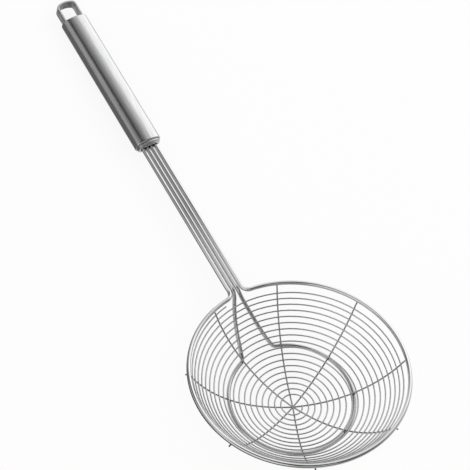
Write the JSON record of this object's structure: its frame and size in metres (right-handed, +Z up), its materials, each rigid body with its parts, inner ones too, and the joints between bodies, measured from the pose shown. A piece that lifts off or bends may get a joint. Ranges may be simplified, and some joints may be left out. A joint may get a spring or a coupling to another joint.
{
  "type": "spider skimmer",
  "caption": "Stainless steel wire skimmer: spiral-wound bowl on ribs and a support ring, a flat wire shaft and a hollow oval handle with a hanging loop.",
  "frame": {"origin": "centre of the bounding box in plan, on the table that the skimmer lies on", "axes": "+Y along the tool from the bowl to the hanging loop, +Z up from the table, +X to the right seen along +Y"},
  "size_m": [0.1598, 0.4198, 0.0835],
  "materials": {
    "frame_wire": "polished",
    "thin_wire": "polished",
    "handle": "satin",
    "loop": "satin"
  },
  "bodies": {
    "root": {"rim_wire": "frame_wire", "support_wire": "frame_wire", "spiral_wire": "thin_wire", "rib_1": "thin_wire", "rib_2": "thin_wire", "rib_3": "thin_wire", "rib_4": "thin_wire", "rib_5": "thin_wire", "rib_6": "thin_wire", "rib_7": "thin_wire", "rib_8": "thin_wire", "handle_tube": "handle", "mouth_plug": "handle", "end_cap": "handle", "hang_loop": "loop"}
  },
  "joints": []
}
